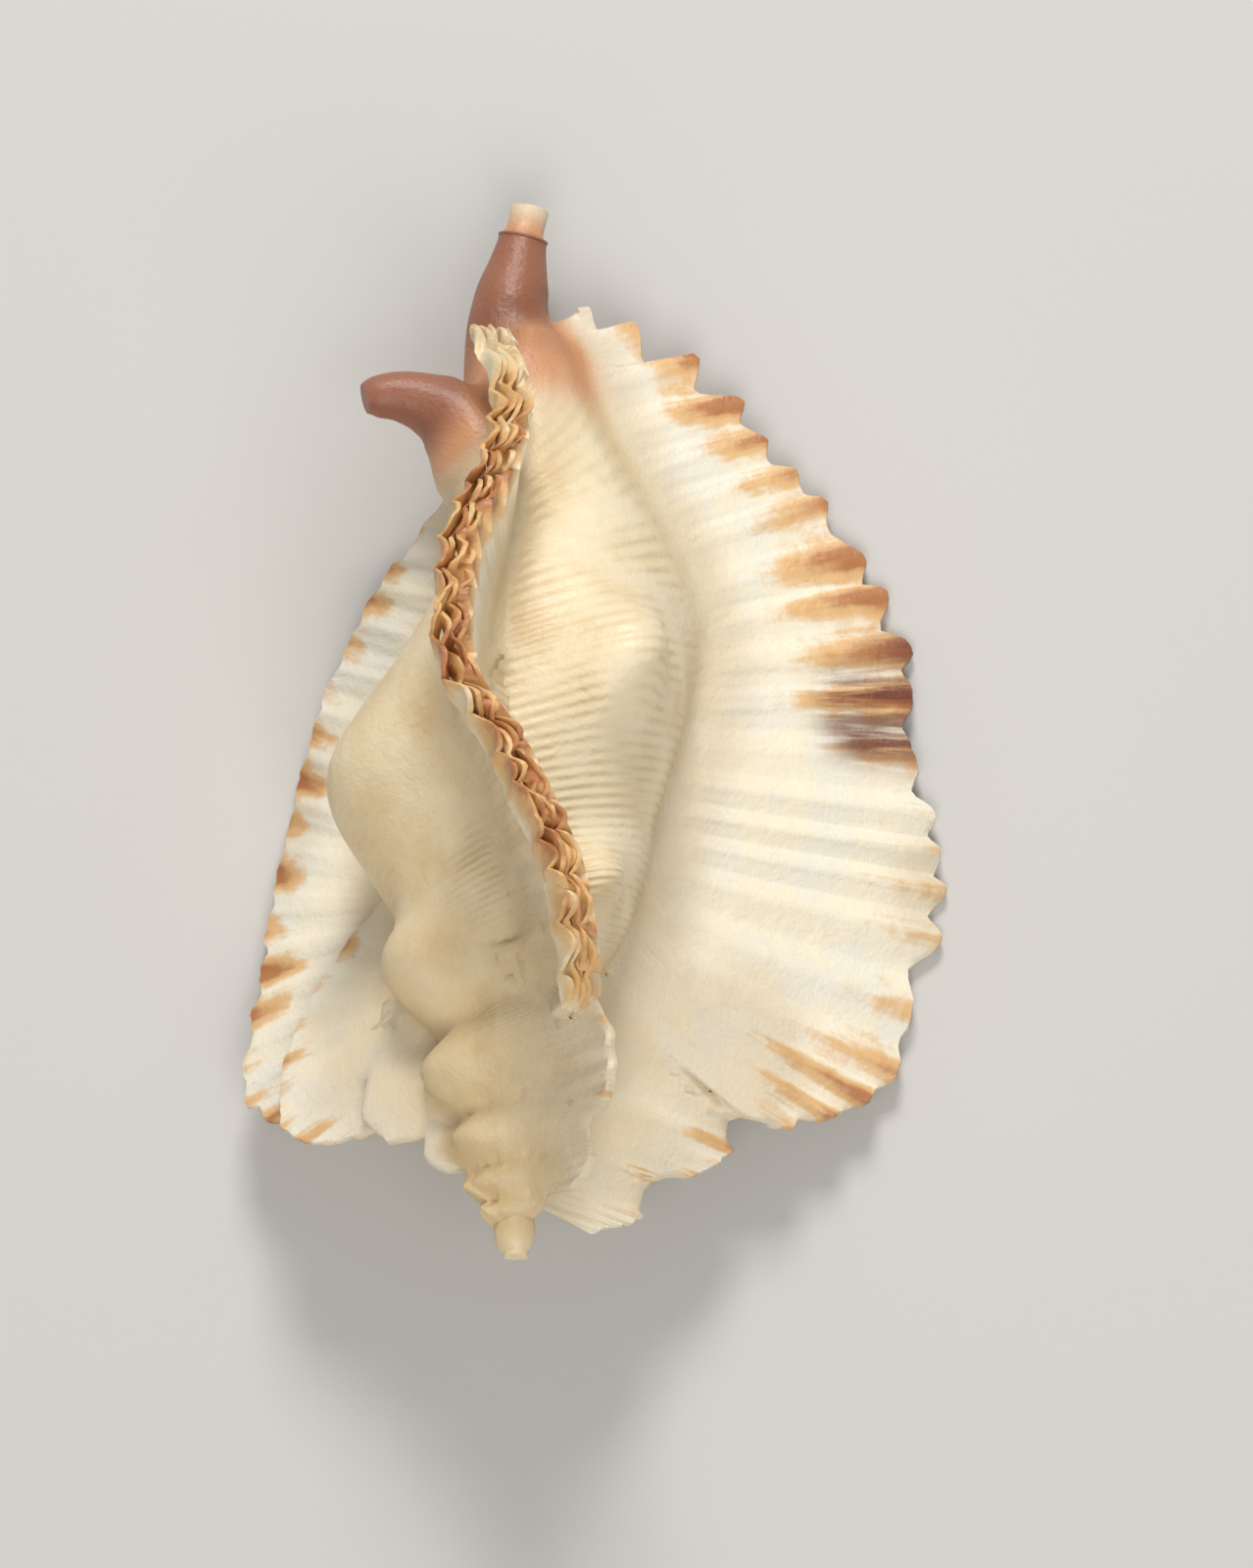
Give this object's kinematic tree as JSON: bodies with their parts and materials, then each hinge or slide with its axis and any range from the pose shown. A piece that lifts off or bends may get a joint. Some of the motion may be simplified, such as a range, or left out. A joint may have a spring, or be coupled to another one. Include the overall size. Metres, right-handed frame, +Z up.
{
  "type": "bednalls murex shell",
  "caption": "Empty three-winged murex shell, fluted blades along a spindle body, open canal and a small oval mouth, lying mouth down.",
  "frame": {"origin": "middle of the bounding box, on the surface that the shell lies on", "axes": "+Y along the shell towards the tip of the canal, +Z up through the middle fin, +X to the side of the last wing"},
  "size_m": [0.049, 0.0764, 0.0406],
  "materials": {
    "shell": "smooth, faintly porcelain-like shell with brown stained wing edges"
  },
  "bodies": {
    "root": {"shell": "shell"}
  },
  "joints": []
}
